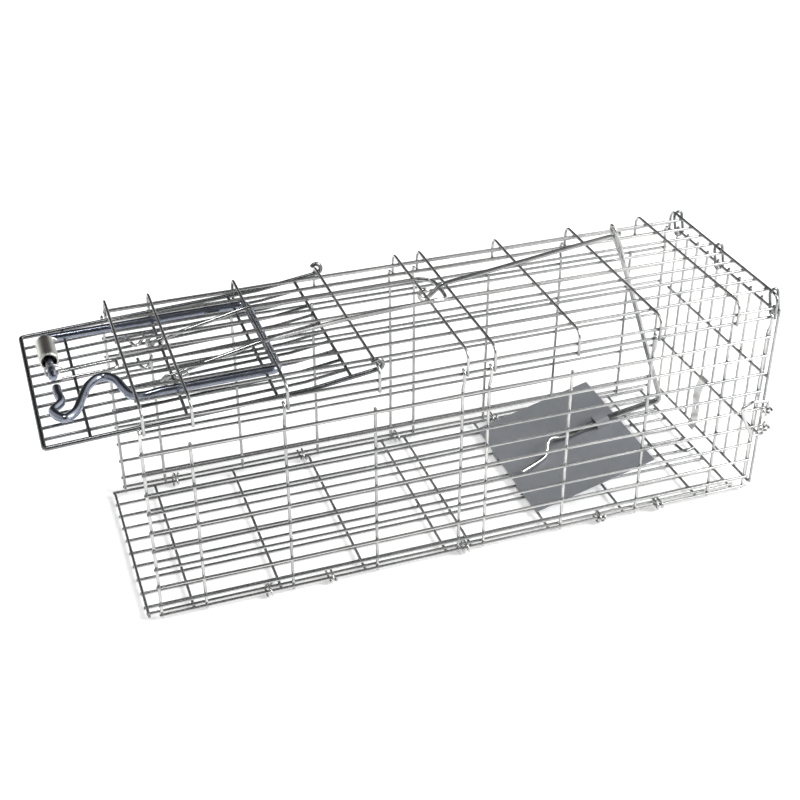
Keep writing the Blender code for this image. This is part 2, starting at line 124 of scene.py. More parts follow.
@dataclass(frozen=True)
class Place:
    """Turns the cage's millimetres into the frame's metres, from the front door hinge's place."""

    shift_x: float
    shift_y: float

    @classmethod
    def from_frame(cls) -> "Place":
        """Reads the two shifts from the front door's hinge axis, which the cage frame fixes too."""
        hinge = next(j for j in frame["record"]["behaviour"]["joints"] if j["name"] == "front_door_hinge")
        return cls(hinge["pos_m"][0] / MM - BARS[3], hinge["pos_m"][1] / MM)

    def metres(self, points: np.ndarray) -> np.ndarray:
        """Args: points: N by 3 millimetres. Returns: the same places in metres."""
        return (points + np.array([self.shift_x, self.shift_y, 0.0])) * MM


PLACE = Place.from_frame()


@dataclass
class Shell:
    """Part of a mesh: its points, quads and triangles, with a UV per corner and marks per point."""

    points: np.ndarray
    quads: np.ndarray
    quad_uv: np.ndarray
    tris: np.ndarray = field(default_factory=lambda: np.zeros((0, 3), np.int64))
    tri_uv: np.ndarray = field(default_factory=lambda: np.zeros((0, 3, 2)))
    weld: np.ndarray | None = None
    spool: float = 0.5


def arc(centre: Pair, radius: float, start: float, end: float, step: float = 9.0) -> np.ndarray:
    """Points of a circle's arc: the centre plus radius times the cosine and sine of each angle.

    Args:
        centre: its place in the plane.
        radius: in the same units.
        start: first angle, degrees.
        end: last angle, degrees.
        step: the most between two points, degrees.

    Returns:
        N by 2 places in the plane.
    """
    count = max(2, math.ceil(abs(end - start) / step) + 1)
    angle = np.radians(np.linspace(start, end, count))
    return np.stack([centre[0] + radius * np.cos(angle), centre[1] + radius * np.sin(angle)], axis=1)


def oval(first: Pair, second: Pair, radius: float) -> np.ndarray:
    """A stadium: two half circles of one radius round two centres, joined by their tangents.

    Args:
        first: one centre.
        second: the other centre.
        radius: of both half circles.

    Returns:
        N by 2 places in the plane, without a repeated last point.
    """
    heading = math.degrees(math.atan2(second[1] - first[1], second[0] - first[0]))
    return np.concatenate([arc(second, radius, heading - 90, heading + 90),
                           arc(first, radius, heading + 90, heading + 270)])


def in_xz(points: np.ndarray, y: float) -> Path:
    """Plane places (u, v) as (u, y, v)."""
    points = np.asarray(points, float)
    return np.stack([points[:, 0], np.full(len(points), y), points[:, 1]], axis=1)


def in_yz(points: np.ndarray, x: float) -> Path:
    """Plane places (u, v) as (x, u, v)."""
    points = np.asarray(points, float)
    return np.stack([np.full(len(points), x), points[:, 0], points[:, 1]], axis=1)


def rounded(corners: list[tuple[float, ...]], radius: float, steps: int = 8) -> Path:
    """A broken line whose corners become parabolas: start (1-t)^2 + corner 2t(1-t) + end t^2.

    Args:
        corners: the line's points.
        radius: how far from each inner corner its curve starts and ends.
        steps: stretches along each curve.

    Returns:
        The points of the softened line.
    """
    places = np.asarray(corners, float)
    before = places[:-2] - places[1:-1]
    after = places[2:] - places[1:-1]
    start = places[1:-1] + before / np.linalg.norm(before, axis=1, keepdims=True) * radius
    end = places[1:-1] + after / np.linalg.norm(after, axis=1, keepdims=True) * radius
    t = np.linspace(0, 1, steps + 1)[None, :, None]
    bends = start[:, None] * (1 - t) ** 2 + places[1:-1, None] * 2 * t * (1 - t) + end[:, None] * t ** 2
    return np.concatenate([places[:1], bends.reshape(-1, places.shape[1]), places[-1:]])


def smooth(points: list[tuple[float, ...]], steps: int = 10) -> Path:
    """A Catmull-Rom curve: between b and c each point is a cubic of t set by a, b, c and d.

    Args:
        points: the places that it passes through.
        steps: stretches between two of them.

    Returns:
        The points of the curve.
    """
    places = np.asarray(points, float)
    ends = np.concatenate([[places[0] * 2 - places[1]], places, [places[-1] * 2 - places[-2]]])
    a, b, c, d = ends[:-3, None], ends[1:-2, None], ends[2:-1, None], ends[3:, None]
    t = np.linspace(0, 1, steps, endpoint=False)[None, :, None]
    curve = (b * 2 + (c - a) * t + (a * 2 - b * 5 + c * 4 - d) * t ** 2
             + (b * 3 - a - c * 3 + d) * t ** 3) / 2
    return np.concatenate([curve.reshape(-1, places.shape[1]), places[-1:]])


def divided(path: Path, spacing: float) -> Path:
    """The same broken line with extra points.

    Args:
        path: N by 3 points.
        spacing: the longest stretch to leave.

    Returns:
        The old and the new points in order.
    """
    lengths = np.linalg.norm(np.diff(path, axis=0), axis=1)
    counts = np.maximum(1, np.ceil(lengths / spacing)).astype(int)
    at = np.concatenate([np.arange(n) / n + k for k, n in enumerate(counts)] + [[len(path) - 1.0]])
    return np.stack([np.interp(at, np.arange(len(path)), path[:, axis]) for axis in range(3)], axis=1)


def frames(path: Path, closed: bool) -> tuple[np.ndarray, np.ndarray]:
    """Two directions square to a path at each point, carried along it with no twist.

    Args:
        path: N by 3 points.
        closed: whether the last point joins the first.

    Returns:
        The two N by 3 arrays of unit vectors.
    """
    if closed:
        ahead = np.roll(path, -1, axis=0) - np.roll(path, 1, axis=0)
    else:
        ahead = np.gradient(path, axis=0)
    ahead /= np.linalg.norm(ahead, axis=1, keepdims=True)
    side = np.cross(ahead[0], np.eye(3)[np.argmin(np.abs(ahead[0]))])
    sides = [side / np.linalg.norm(side)]
    for heading in ahead[1:]:
        side = sides[-1] - heading * np.dot(sides[-1], heading)
        sides.append(side / np.linalg.norm(side))
    first = np.array(sides)
    return first, np.cross(ahead, first)


def ring_quads(rows: int, around: int, closed: bool = False) -> np.ndarray:
    """Quads over rows of ring points, each joining two neighbours to the same two on the next row.

    Args:
        rows: how many rings.
        around: points on each ring.
        closed: whether the last ring joins the first.

    Returns:
        N by 4 point numbers.
    """
    row = np.arange(rows if closed else rows - 1)[:, None] * around
    col = np.arange(around)[None, :]
    after, turn = (row + around) % (rows * around), (col + 1) % around
    return np.stack([row + col, row + turn, after + turn, after + col], -1).reshape(-1, 4)


def tube(path: Path, radius: float, sides: int = 12, closed: bool = False, spool: float = 0.5) -> Shell:
    """A round wire: each point is the path plus radius times (side cos a + up sin a).

    Args:
        path: N by 3 points of its middle line.
        radius: of the wire.
        sides: flats round the wire.
        closed: whether it is a ring.
        spool: the wire's own shade, from 0 to 1.

    Returns:
        The wire's shell, its open ends closed by low domes.
    """
    side, up = frames(path, closed)
    reach = np.full(len(path), radius)
    along = np.concatenate([[0.0], np.cumsum(np.linalg.norm(np.diff(path, axis=0), axis=1))])
    if not closed:
        ahead = np.cross(side, up)
        rise = np.array([[-1.0], [1.0]]) * radius * DOME_RISE
        tips = path[[0, -1]] + ahead[[0, -1]] * rise
        path = np.concatenate([tips[:1], path, tips[1:]])
        side, up = (np.concatenate([v[:1], v, v[-1:]]) for v in (side, up))
        reach = np.concatenate([[radius * DOME_REACH], reach, [radius * DOME_REACH]])
        along = np.concatenate([[-reach[0]], along, [along[-1] + reach[-1]]])
    angle = np.linspace(0, 2 * np.pi, sides, endpoint=False)[None, :, None]
    spokes = side[:, None] * np.cos(angle) + up[:, None] * np.sin(angle)
    rings = path[:, None] + reach[:, None, None] * spokes
    count = len(path)
    ends = along[1:] if not closed else along + 1.0
    u0 = np.broadcast_to(along[:len(ends), None], (len(ends), sides))
    u1 = np.broadcast_to(ends[:, None], u0.shape)
    v0 = np.broadcast_to(np.arange(sides) / sides, u0.shape)
    v1 = v0 + 1.0 / sides
    uv = np.stack([np.stack(pair, -1) for pair in ((u0, v0), (u0, v1), (u1, v1), (u1, v0))], 2)
    points = rings.reshape(-1, 3)
    shell = Shell(points, ring_quads(count, sides, closed), uv.reshape(-1, 4, 2), spool=spool)
    if not closed:
        centres = np.stack([rings[0].mean(axis=0), rings[-1].mean(axis=0)])
        base, last = len(points), (count - 1) * sides
        flat = np.arange(sides)
        low = np.stack([np.full(sides, base), (flat + 1) % sides, flat], 1)
        high = np.stack([np.full(sides, base + 1), last + flat, last + (flat + 1) % sides], 1)
        shell.points = np.concatenate([points, centres])
        shell.tris = np.concatenate([low, high])
        shell.tri_uv = np.zeros((2 * sides, 3, 2))
    return shell


def bead(centre: np.ndarray, sizes: Triple, around: int = 8, high: int = 4) -> Shell:
    """A small ellipsoid: sizes times (sin p cos q, sin p sin q, cos p) about its centre.

    Args:
        centre: its middle.
        sizes: its three half lengths.
        around: flats round it.
        high: rows of faces from top to bottom.

    Returns:
        The closed shell, marked as weld all over.
    """
    p = np.linspace(0, np.pi, high + 1)[1:-1, None]
    q = np.linspace(0, 2 * np.pi, around, endpoint=False)[None, :]
    grid = np.stack([np.sin(p) * np.cos(q), np.sin(p) * np.sin(q), np.cos(p) * np.ones_like(q)], -1)
    points = np.concatenate([grid.reshape(-1, 3), [[0, 0, 1], [0, 0, -1]]]) * sizes + centre
    quads = np.roll(ring_quads(high - 1, around)[:, ::-1], 1, axis=1)
    top, bottom = len(points) - 2, len(points) - 1
    flat, last = np.arange(around), (high - 2) * around
    caps = np.concatenate([np.stack([np.full(around, top), flat, (flat + 1) % around], 1),
                           np.stack([np.full(around, bottom), last + (flat + 1) % around, last + flat], 1)])
    return Shell(points, quads, np.zeros((len(quads), 4, 2)), caps, np.zeros((len(caps), 3, 2)),
                 weld=np.ones(len(points)), spool=0.4)


def placed(name: str, data: bpy.types.ID) -> Object:
    """Links a new object into the scene, at the origin.

    Args:
        name: its name.
        data: its mesh, lamp or camera.

    Returns:
        The object.
    """
    made = bpy.data.objects.new(name, data)
    bpy.context.scene.collection.objects.link(made)
    return made


def mesh_from(name: str, shells: list[Shell]) -> Object:
    """One mesh object from many shells, in metres, with its UV map and point marks.

    Args:
        name: what it draws; the object has "_fine" added, as a CAD node has the plain name.
        shells: the parts, in the cage's millimetres.

    Returns:
        The linked object, at the origin.
    """
    starts = np.cumsum([0] + [len(s.points) for s in shells[:-1]])
    points = PLACE.metres(np.concatenate([s.points for s in shells]))
    quads = np.concatenate([s.quads + k for s, k in zip(shells, starts)])
    tris = np.concatenate([s.tris + k for s, k in zip(shells, starts)])
    uv = np.concatenate([s.quad_uv.reshape(-1, 2) for s in shells]
                        + [s.tri_uv.reshape(-1, 2) for s in shells])
    mesh = bpy.data.meshes.new(f"{name}_fine")
    mesh.vertices.add(len(points))
    mesh.vertices.foreach_set("co", points.ravel())
    mesh.loops.add(quads.size + tris.size)
    mesh.loops.foreach_set("vertex_index", np.concatenate([quads.ravel(), tris.ravel()]).astype(np.int32))
    mesh.polygons.add(len(quads) + len(tris))
    loop_start = np.concatenate([np.arange(len(quads)) * 4, quads.size + np.arange(len(tris)) * 3])
    mesh.polygons.foreach_set("loop_start", loop_start.astype(np.int32))
    mesh.update(calc_edges=True)
    layer = mesh.uv_layers.new(name="along")
    layer.data.foreach_set("uv", (uv * np.array([MM, 1.0])).astype(np.float32).ravel())
    marks = {
        "weld": np.concatenate([np.zeros(len(s.points)) if s.weld is None else s.weld for s in shells]),
        "spool": np.concatenate([np.full(len(s.points), s.spool) for s in shells]),
    }
    for word, values in marks.items():
        mesh.attributes.new(word, "FLOAT", "POINT").data.foreach_set("value", values.astype(np.float32))
    mesh.shade_smooth()
    mesh.set_sharp_from_angle(angle=SHARP_ANGLE)
    return placed(f"{name}_fine", mesh)


def node(tree: Tree, kind: str, inputs: dict[str | int, object], **settings: object) -> bpy.types.Node:
    """Adds one shader node.

    Args:
        tree: where to.
        kind: its type.
        inputs: what each input takes, a plain value or a socket to link.
        **settings: its own properties.

    Returns:
        The node.
    """
    made = tree.nodes.new(kind)
    for word, value in settings.items():
        setattr(made, word, value)
    for slot, value in inputs.items():
        if isinstance(value, Socket):
            tree.links.new(value, made.inputs[slot])
        else:
            made.inputs[slot].default_value = value
    return made


def sum_of(tree: Tree, rule: str, first: Socket, second: Socket | float, clamp: bool = False) -> Socket:
    """Adds a math node, kept between 0 and 1 if clamped, and gives its result."""
    return node(tree, "ShaderNodeMath", {0: first, 1: second}, operation=rule, use_clamp=clamp).outputs[0]


@dataclass(frozen=True)
class ZincSkin:
    """The shared effect of every zinc surface, as one shader node group."""

    name: str = "zinc_skin"
    blotch_scale: float = 55.0
    spangle_scale: float = 420.0
    streak_scale: Triple = (60.0, 9.0, 1.0)
    streak_share: float = 0.45
    blotch_share: float = 0.75
    spool_share: float = 0.5
    spangle_share: float = 0.22
    offset: float = 0.45

    def build(self) -> Tree:
        """Builds the group: blotches, drawn streaks, soft spangle and dark weld stain.

        The shade is the sum of streak, blotch, spool and spangle, each times its share, less an
        offset. It blends from bright to dull, and the stain (weld mark times blotch) to grime.

        Returns:
            The group, with Colour, Roughness and Height outputs.
        """
        group = bpy.data.node_groups.new(self.name, "ShaderNodeTree")
        sockets = {"Bright Dull Grime": ("INPUT", "Color"), "Smooth Rough Grain Streak": ("INPUT", "Float"),
                   "Colour": ("OUTPUT", "Color"), "Roughness Height": ("OUTPUT", "Float")}
        for words, (way, kind) in sockets.items():
            for word in words.split():
                group.interface.new_socket(word, in_out=way, socket_type=f"NodeSocket{kind}")
        link = group.links.new
        times, plus, less = (partial(sum_of, group, rule) for rule in ("MULTIPLY", "ADD", "SUBTRACT"))
        given = node(group, "NodeGroupInput", {}).outputs
        out = node(group, "NodeGroupOutput", {}).inputs
        place = node(group, "ShaderNodeTexCoord", {}).outputs["Object"]
        along = node(group, "ShaderNodeUVMap", {}, uv_map="along").outputs["UV"]
        along = node(group, "ShaderNodeMapping", {"Vector": along, "Scale": self.streak_scale}).outputs[0]
        blotch = self.noise(group, place, self.blotch_scale, 4.0)
        grain = self.noise(group, place, given["Grain"], 3.0)
        streak = self.noise(group, along, 1.0, 3.0)
        cells = node(group, "ShaderNodeTexVoronoi", {"Vector": place, "Scale": self.spangle_scale})
        shade = times(times(streak, given["Streak"]), self.streak_share)
        shade = plus(shade, times(blotch, self.blotch_share))
        shade = plus(shade, times(self.mark(group, "spool"), self.spool_share))
        cells = times(cells.outputs["Color"], self.spangle_share)
        shade = plus(less(shade, self.offset), cells, clamp=True)
        stain = times(self.mark(group, "weld"), times(blotch, 1.1), clamp=True)
        base = self.mix(group, shade, given["Bright"], given["Dull"])
        link(self.mix(group, stain, base, given["Grime"]), out["Colour"])
        wear = plus(times(grain, 0.6), times(blotch, 0.5), clamp=True)
        rough = plus(given["Smooth"], times(less(given["Rough"], given["Smooth"]), wear))
        link(plus(rough, times(stain, 0.25), clamp=True), out["Roughness"])
        link(plus(times(grain, 0.6), times(streak, 0.4)), out["Height"])
        return group

    @staticmethod
    def noise(group: Tree, place: Socket, scale: Socket | float, detail: float) -> Socket:
        """The value of a noise texture at the given place."""
        inputs = {"Vector": place, "Scale": scale, "Detail": detail}
        return node(group, "ShaderNodeTexNoise", inputs).outputs["Fac"]

    @staticmethod
    def mark(group: Tree, word: str) -> Socket:
        """The value of one of the mesh's point marks."""
        return node(group, "ShaderNodeAttribute", {}, attribute_name=word).outputs["Fac"]

    @staticmethod
    def mix(group: Tree, share: Socket, first: Socket, second: Socket) -> Socket:
        """A blend of two colours by a share from 0 to 1."""
        return node(group, "ShaderNodeMix", {0: share, 6: first, 7: second}, data_type="RGBA").outputs[2]


@dataclass
class Palette:
    """Every finish's material, each made once from the shared skin."""

    skin: Tree
    bump_strength: float = 0.35
    made: dict[Finish, bpy.types.Material] = field(default_factory=dict)

    def material(self, finish: Finish) -> bpy.types.Material:
        """Makes a finish's material, or finds it.

        Args:
            finish: which finish.

        Returns:
            Its material.
        """
        if finish in self.made:
            return self.made[finish]
        look = LOOKS[finish]
        material = bpy.data.materials.new(finish.value)
        material.use_nodes = True
        tree = material.node_tree
        shader = tree.nodes["Principled BSDF"]
        shader.inputs["Metallic"].default_value = look.metallic
        inputs = {word.title(): (*getattr(look, word), 1.0) for word in ("bright", "dull", "grime")}
        inputs |= {word.title(): getattr(look, word) for word in ("smooth", "rough", "grain", "streak")}
        skin = node(tree, "ShaderNodeGroup", inputs, node_tree=self.skin).outputs
        relief = {"Strength": self.bump_strength, "Distance": look.relief * MM, "Height": skin["Height"]}
        bump = node(tree, "ShaderNodeBump", relief).outputs
        for word, source in (("Base Color", skin["Colour"]), ("Roughness", skin["Roughness"]),
                             ("Normal", bump["Normal"])):
            tree.links.new(source, shader.inputs[word])
        self.made[finish] = material
        return material


@dataclass
class Assembly:
    """Shared steps of every sub-assembly: finish a piece, put it on its body, report it."""

    palette: Palette
    body: str

    def dress(self, piece: Object, finish: Finish, *nodes: str, body: str | None = None) -> Object:
        """Gives a piece its material and body, and hides the CAD nodes that it stands for.

        Args:
            piece: the finished mesh object.
            finish: which finish it takes.
            *nodes: the CAD nodes it replaces.
            body: its body, where it isn't the assembly's own.

        Returns:
            The same piece.
        """
        piece.data.materials.append(self.palette.material(finish))
        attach(piece, body or self.body)
        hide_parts(*nodes)
        LOG.info("%s: %d faces, rides on %s", piece.name, len(piece.data.polygons), body or self.body)
        return piece

    def wire(self, name: str, path: Path, size: float, finish: Finish, body: str | None = None,
             closed: bool = False, sides: int = 14, stands_for: bool = True) -> Object:
        """One piece of plain round wire.

        Args:
            name: what it draws.
            path: the wire's middle line.
            size: how thick it is.
            finish: which finish it takes.
            body: its body, where it isn't the assembly's own.
            closed: whether it is a ring.
            sides: flats round the wire.
            stands_for: whether it replaces the CAD node of this name.

        Returns:
            The dressed piece.
        """
        shell = tube(path, size / 2, sides, closed)
        return self.dress(mesh_from(name, [shell]), finish, *([name] if stands_for else []), body=body)


@dataclass
class Mesh:
    """A welded mesh panel: two sets of crossing wires and the points where they are welded."""

    wires: list[Path]
    welds: np.ndarray
    seed: int
    sway: float = 0.08
    sides: int = 10
    spacing: float = 6.35
    waves: Pair = (31.0, 13.0)
    mark_reach: float = 2.0
    bead_size: Triple = (1.15, 1.15, 0.95)

    def shells(self) -> list[Shell]:
        """Every wire as a tube with a slight sway, and a bead of metal at every weld.

        A wire's sway is the sum of two sine waves of its distance along the wire, and a point's
        weld mark is exp(-(distance to the nearest weld / 2 mm)^2).

        Returns:
            The shells, wires first.
        """
        chance = np.random.default_rng(self.seed)
        made = []
        for path in self.wires:
            fine = divided(path, self.spacing)
            along = np.concatenate([[0.0], np.cumsum(np.linalg.norm(np.diff(fine, axis=0), axis=1))])
            phase = chance.uniform(0, 2 * np.pi, (2, 3))
            long, short = (np.sin(along[:, None] / w + p) for w, p in zip(self.waves, phase))
            spool = float(chance.uniform(0.0, 1.0))
            shell = tube(fine + (long + 0.6 * short) * self.sway, MESH_WIRE / 2, self.sides, spool=spool)
            near = np.linalg.norm(fine[:, None] - self.welds[None], axis=2).min(axis=1)
            mark = np.exp(-(near / self.mark_reach) ** 2)
            ringed = np.concatenate([mark[:1], mark, mark[-1:]])
            shell.weld = np.concatenate([np.repeat(ringed, self.sides), mark[[0, -1]]])
            made.append(shell)
        for spot in self.welds:
            grow = chance.uniform(0.9, 1.25, 3)
            made.append(bead(spot, tuple(np.array(self.bead_size) * grow)))
        return made


@dataclass
class Cage(Assembly):
    """The four mesh panels, the clips that tie them together and the catch on the floor."""

    wall_y: float = 62.4
    wall_top: float = 113.0
    setback: float = 2.3
    lowest: float = 4.2
    wall_rear: float = 371.0
    hooked: tuple[int, ...] = (0, 2, 4, 5, 7, 9)
    floor_setback: float = 9.25
    floor_z: float = 2.4
    floor_half: float = 60.9
    floor_edge: float = 59.8
    latch_pin: Pair = (375.0, -67.0)
    clip_wire: float = 1.5
    clip_centre: Pair = (61.85, 4.05)
    clip_reach: float = 2.1
    clip_radius: float = 2.3
    near_clips: tuple[float, ...] = (60.0, 97.0, 180.0, 269.0, 309.0)
    far_clips: tuple[float, ...] = (30.0, 114.0, 179.0, 249.0)

    def build(self) -> None:
        """Builds every panel, then the clips and the catch."""
        self.roof()
        self.wall("near_side_panel", -1)
        self.wall("far_side_panel", 1)
        self.floor()
        self.clips()
        places = [(361.0, -6.0), (350.5, -8.0), (352.5, -19.0), (361.0, -16.5)]
        catch = rounded([(x, y, 4.6) for x, y in places], 3.0)
        # The catch takes the dull finish, whose darker colour is painted shade.
        self.wire("rear_catch", catch, MESH_WIRE, Finish.DULL)

    def roof(self) -> None:
        """Hoops bent over three sides, with lengthways wires welded to their inner side."""
        foot = LEG_WIRE_Z - MESH_WIRE / 2
        hoops = [rounded([(bar, -HALF_WIDTH, foot), (bar, -HALF_WIDTH, HEIGHT), (bar, HALF_WIDTH, HEIGHT),
                          (bar, HALF_WIDTH, foot)], 6.0) for bar in BARS]
        rows = [(PITCH * k, HEIGHT - LAYER) for k in range(-4, 5)]
        edges = [(side * EDGE_WIRE_Y, z) for side in (-1, 1) for z in (131.5, LEG_WIRE_Z)]
        lines = [np.array([(BARS[0] - OVERHANG, y, z), (BARS[-1] + OVERHANG, y, z)]) for y, z in rows + edges]
        welds = [(bar, y, z + LAYER / 2) for bar in BARS for y, z in rows]
        welds += [(bar, y + np.sign(y) * LAYER / 2, z) for bar in BARS for y, z in edges]
        panel = Mesh(hoops + lines, np.array(welds), SEED + 1)
        self.dress(mesh_from("roof_panel", panel.shells()), Finish.BRIGHT, "roof_panel")

    def upright(self, bar: float, hooked: bool, side: int) -> Path:
        """One wall upright; a hooked one leans out and over the roof's leg wire.

        Args:
            bar: the roof bar that it stands at.
            hooked: whether it has a hook.
            side: -1 for the near wall, 1 for the far one.

        Returns:
            Its middle line.
        """
        if hooked:
            lean = rounded([(self.wall_y, 1.2), (self.wall_y, 116.5), (EDGE_WIRE_Y + 2.6, 121.8),
                            (EDGE_WIRE_Y + 2.6, LEG_WIRE_Z - 0.5)], 1.8, 4)
            plane = np.concatenate([lean, arc((EDGE_WIRE_Y, LEG_WIRE_Z), 2.6, 0, 96)])
        else:
            plane = np.array([(self.wall_y, 1.2), (self.wall_y, self.wall_top + 1.4)])
        path = in_yz(plane, bar - self.setback)
        path[:, 1] *= side
        return path

    def wall(self, name: str, side: int) -> None:
        """Uprights inside and lengthways wires outside; two near ones end in latch hooks.

        Args:
            name: the panel's name.
            side: -1 for the near wall, 1 for the far one.
        """
        uprights = [self.upright(bar, k in self.hooked, side) for k, bar in enumerate(BARS)]
        levels = [self.lowest] + [self.wall_top - PITCH * k for k in range(9)]
        y = side * (self.wall_y + LAYER)
        front = -self.setback - 1.4
        lines = []
        for k, z in enumerate(levels):
            if side < 0 and k in (5, 6):
                curl = arc(self.latch_pin, y - self.latch_pin[1], 90, -170)
                curl = np.column_stack([curl, np.full(len(curl), z)])
                lines.append(np.concatenate([[(front, y, z)], curl]))
            else:
                lines.append(np.array([(front, y, z), (self.wall_rear, y, z)]))
        middle = side * (self.wall_y + LAYER / 2)
        welds = [(bar - self.setback, middle, z) for bar in BARS for z in levels]
        panel = Mesh(uprights + lines, np.array(welds), SEED + 5 + side)
        self.dress(mesh_from(name, panel.shells()), Finish.BRIGHT, name)

    def floor(self) -> None:
        """Crossways bars over lengthways wires, with the two edge wires on top of them."""
        places = BARS - self.floor_setback
        bars = [np.array([(x, side * self.floor_half, self.floor_z) for side in (-1, 1)]) for x in places]
        rows = [(PITCH * k, self.floor_z - LAYER) for k in range(-4, 5)]
        rows += [(side * self.floor_edge, self.floor_z + LAYER) for side in (-1, 1)]
        ends = places[[0, -1]] + np.array([-OVERHANG, OVERHANG])
        lines = [np.array([(x, y, z) for x in ends]) for y, z in rows]
        welds = [(x, y, (z + self.floor_z) / 2) for x in places for y, z in rows]
        panel = Mesh(bars + lines, np.array(welds), SEED + 9, sway=0.05)
        self.dress(mesh_from("floor_panel", panel.shells()), Finish.BRIGHT, "floor_panel")

    def clips(self) -> None:
        """Hog rings: an oval walked one and a half times round two wires while it drifts along them."""
        middle, height = self.clip_centre
        for side, places, word in ((-1, self.near_clips, "near"), (1, self.far_clips, "far")):
            ends = [(side * middle + way * self.clip_reach, height) for way in (-1, 1)]
            once = oval(*ends, self.clip_radius)
            count = int(len(once) * 1.55)
            for number, x in enumerate(places, 1):
                turn = np.roll(once, number * 5, axis=0)[np.arange(count) % len(once)]
                drift = np.linspace(-2.3, 2.3, count) * (1 if number % 2 else -1)
                path = np.column_stack([x + drift, turn])
                self.wire(f"{word}_floor_clip_{number}", path, self.clip_wire, Finish.BRIGHT)


@dataclass
class FrontDoor(Assembly):
    """The raised drop door: a frame of heavier wire, a light mesh and three small wire forms."""

    half: float = 59.0
    edge_wire: float = 2.6
    eye: float = 3.1
    pitch: float = 10.75
    front: Pair = (-49.5, 125.0)
    knee: Pair = (90.0, 131.5)
    rear: Pair = (125.0, 136.3)
    bars: tuple[float, ...] = (-26.0, 24.0, 72.0, 112.7)
    ring_wire: float = 2.2
    ring_ys: Pair = (-22.0, 23.4)

    def height(self, x: np.ndarray | float) -> np.ndarray:
        """Height of the door's side wires: straight from the front to the knee, then steeper."""
        stops = np.array([self.front, self.knee, self.rear])
        return np.interp(x, stops[:, 0], stops[:, 1])

    def build(self) -> None:
        """Builds the framed panel and the small forms that sit on it."""
        eye = arc((BARS[3], HEIGHT), self.eye, 255, 505)
        side_line = np.concatenate([[self.knee, self.rear], eye])
        near, far = in_xz(side_line, -self.half), in_xz(side_line, self.half)
        front = [(self.front[0], side * self.half, self.front[1]) for side in (-1, 1)]
        bend = rounded([tuple(near[0]), *front, tuple(far[0])], 2.2)
        frame_path = divided(np.concatenate([near[::-1], bend[1:-1], far]), 12.0)
        bars = [np.array([(x, side * self.half, self.height(x)) for side in (-1, 1)]) for x in self.bars]
        rows = (np.arange(10) - 4.5) * self.pitch
        stops = np.array([self.front[0] - 0.8, self.knee[0], self.bars[-1] + 1.3])
        lines = [in_xz(np.stack([stops, self.height(stops) - LAYER], 1), y) for y in rows]
        welds = [(x, y, self.height(x) - LAYER / 2) for x in self.bars for y in rows]
        welds += [(self.front[0], y, self.front[1] - 1.0) for y in rows]
        welds += [(x, side * (self.half - 0.6), self.height(x)) for x in self.bars for side in (-1, 1)]
        shells = Mesh(bars + lines, np.array(welds), SEED + 21).shells()
        shells.append(tube(frame_path, self.edge_wire / 2, 16, spool=0.6))
        # The door's mesh takes the dull finish, whose darker colour is painted shade over the front of the
        # trap.
        self.dress(mesh_from("front_door_panel", shells), Finish.DULL, "front_door_panel")
        self.small_forms()

    def small_forms(self) -> None:
        """A V, a J and a hairpin of thin wire just above the mesh, and two rings on the door's bar."""
        forms = {
            "door_v_wire": [(7, 32), (10.6, 20), (17.6, 29.7)],
            "door_j_wire": [(9, 5.5), (9.6, -3.5), (12.5, -5.5), (17, 5.2)],
            "door_hairpin_wire": [(-33, 1.0), (-6, 0.6), (-2.5, 5), (-6, 9), (-33, 8.6)],
        }
        for name, places in forms.items():
            path = smooth([(x, y, float(self.height(x)) + 2.1) for x, y in places])
            self.wire(name, path, MESH_WIRE, Finish.BRIGHT)
        turn = [tuple(place) for place in arc((21.7, 128.6), 4.3, 40, -285)[::3]]
        pigtail = smooth([(32.0, 131.4), (28.2, 130.6), (25.6, 131.2)] + turn, 4)
        drift = np.linspace(0.5, -0.5, len(pigtail))
        for number, y in enumerate(self.ring_ys, 1):
            path = np.column_stack([pigtail[:, 0], y + drift, pigtail[:, 1]])
            self.wire(f"door_eye_{number}", path, self.ring_wire, Finish.BRIGHT, stands_for=False)


def band(middle: np.ndarray, low: float, high: float, thickness: float, lay: Lay, parts: int = 6) -> Shell:
    """A strip of sheet: a plane line made thick, carried from one side of the strip to the other.

    The outline is the line plus and minus half the thickness along its normal, and each station
    across is the same outline, so the surface is outline(s) carried along t.

    Args:
        middle: N by 2 places of the sheet's middle line.
        low: where the strip starts across.
        high: where it ends across.
        thickness: of the sheet.
        lay: turns (u, w, across) arrays into N by 3 places.
        parts: stretches across.

    Returns:
        The closed strip.
    """
    along = np.gradient(middle, axis=0)
    along /= np.linalg.norm(along, axis=1, keepdims=True)
    normal = np.stack([-along[:, 1], along[:, 0]], 1) * thickness / 2
    outline = np.concatenate([middle + normal, (middle - normal)[::-1]])
    count, across = len(outline), np.linspace(low, high, parts + 1)
    grid = np.concatenate([lay(outline[:, 0], outline[:, 1], np.full(count, t)) for t in across])
    flat = np.arange(len(middle) - 1)
    end = np.stack([flat, flat + 1, count - 2 - flat, count - 1 - flat], 1)
    quads = np.concatenate([ring_quads(parts + 1, count), end[:, ::-1], end + parts * count])
    uv = np.stack([grid[quads][:, :, 0], grid[quads][:, :, 1] / 100.0], -1)
    return Shell(grid, quads, uv, spool=0.5)


def solid_from(name: str, shells: list[Shell], bevel: float = 0.0) -> Object:
    """A closed piece, with its faces turned outward and its sharp edges rounded.

    Args:
        name: what it draws.
        shells: its parts.
        bevel: the width of the rounding, or 0 for none.

    Returns:
        The linked object.
    """
    piece = mesh_from(name, shells)
    shape = bmesh.new()
    shape.from_mesh(piece.data)
    bmesh.ops.recalc_face_normals(shape, faces=shape.faces)
    shape.to_mesh(piece.data)
    shape.free()
    if bevel:
        edges = piece.modifiers.new("edges", "BEVEL")
        edges.width = bevel * MM
        edges.segments = 2
        edges.limit_method = "ANGLE"
        edges.angle_limit = math.radians(40)
    return piece


